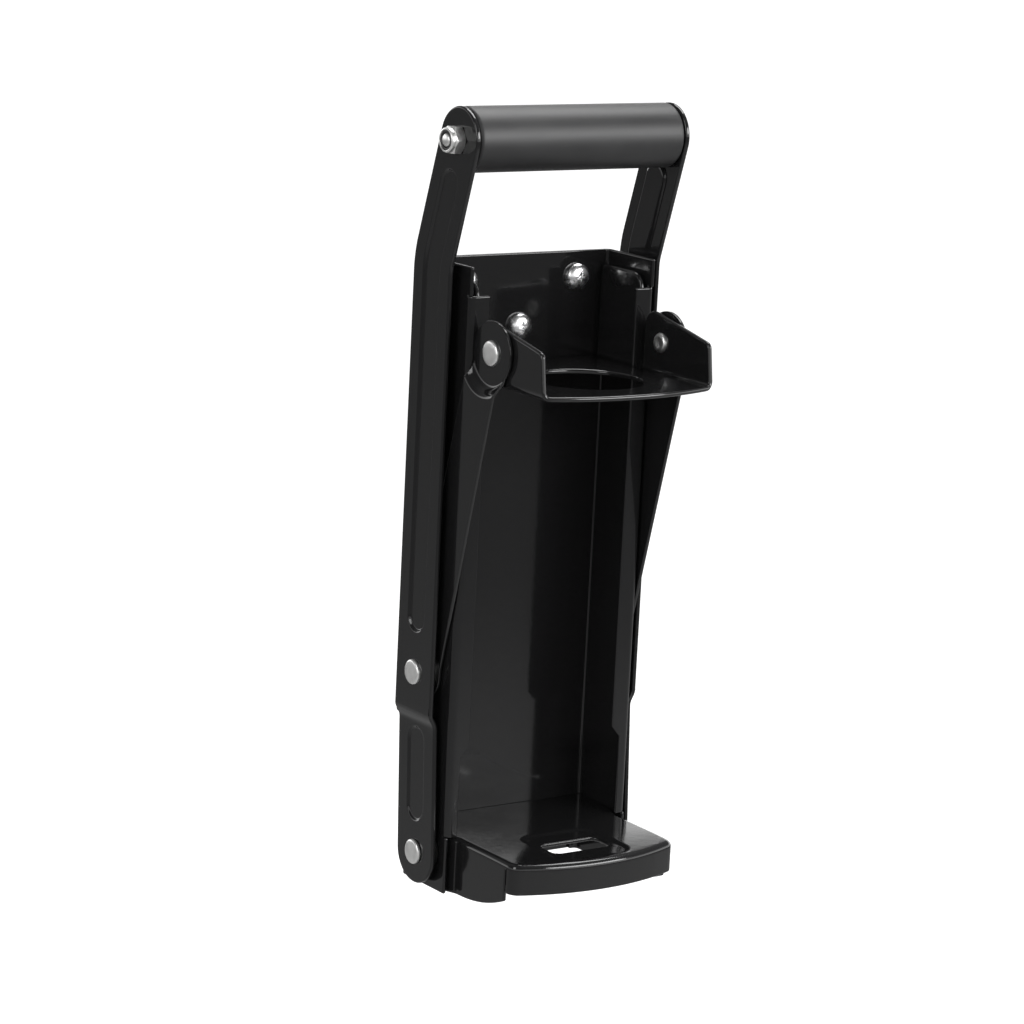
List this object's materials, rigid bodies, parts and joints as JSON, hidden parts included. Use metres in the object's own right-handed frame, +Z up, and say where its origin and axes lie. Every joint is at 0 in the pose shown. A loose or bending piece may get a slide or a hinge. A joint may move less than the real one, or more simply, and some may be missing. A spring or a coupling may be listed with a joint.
{
  "type": "lever can crusher",
  "caption": "Wall-hung lever can crusher: folded steel channel with a tray foot, a guided plunger plate, side links and a long forked lever with a round grip.",
  "frame": {"origin": "on the wall plane, in the middle of the channel's width, level with the foot of the channel's side walls", "axes": "+Z up, +Y into the wall that carries the part, -Y to the front, +X to the right as seen from the front"},
  "size_m": [0.11, 0.109, 0.3108],
  "materials": {
    "enamel": "gloss black",
    "grip": "satin black sleeve",
    "zinc": "bright zinc plate",
    "bright_screws": "polished"
  },
  "bodies": {
    "frame": {"channel_body": "enamel", "base_tray": "enamel", "mounting_screws": "bright_screws", "foot_rivet_left": "zinc", "foot_rivet_right": "zinc", "foot_spacer_left": "zinc", "foot_spacer_right": "zinc"},
    "lever": {"lever_arm_left": "enamel", "lever_arm_right": "enamel", "handle_tube": "zinc", "grip_sleeve": "grip", "handle_bolt": "zinc", "handle_nut": "zinc", "mid_rivet_left": "zinc", "mid_rivet_right": "zinc", "mid_spacer_left": "zinc", "mid_spacer_right": "zinc"},
    "links": {"link_left": "enamel", "link_right": "enamel", "ear_rivet_left": "zinc", "ear_rivet_right": "zinc"},
    "plunger": {"plunger": "enamel", "ear_rivet_tail_left": "zinc", "ear_rivet_tail_right": "zinc"}
  },
  "joints": [
    {"name": "lever_swing", "type": "hinge", "parent": "frame", "child": "lever", "pos_m": [0, -0.016, 0.014], "axis": [1, 0, 0], "range_deg": [0, 155]},
    {"name": "link_swing", "type": "hinge", "parent": "lever", "child": "links", "pos_m": [0, -0.0131, 0.087], "axis": [1, 0, 0], "range_deg": [-171, 0]},
    {"name": "plunger_slide", "type": "slide", "parent": "frame", "child": "plunger", "axis": [0, 0, -1], "range_m": [0, 0.1343]}
  ],
  "couplings": [
    {"joint": "link_swing", "follows": "lever_swing", "ratio": -1.1001},
    {"joint": "plunger_slide", "follows": "lever_swing", "m_per_rad": 0.049586}
  ]
}
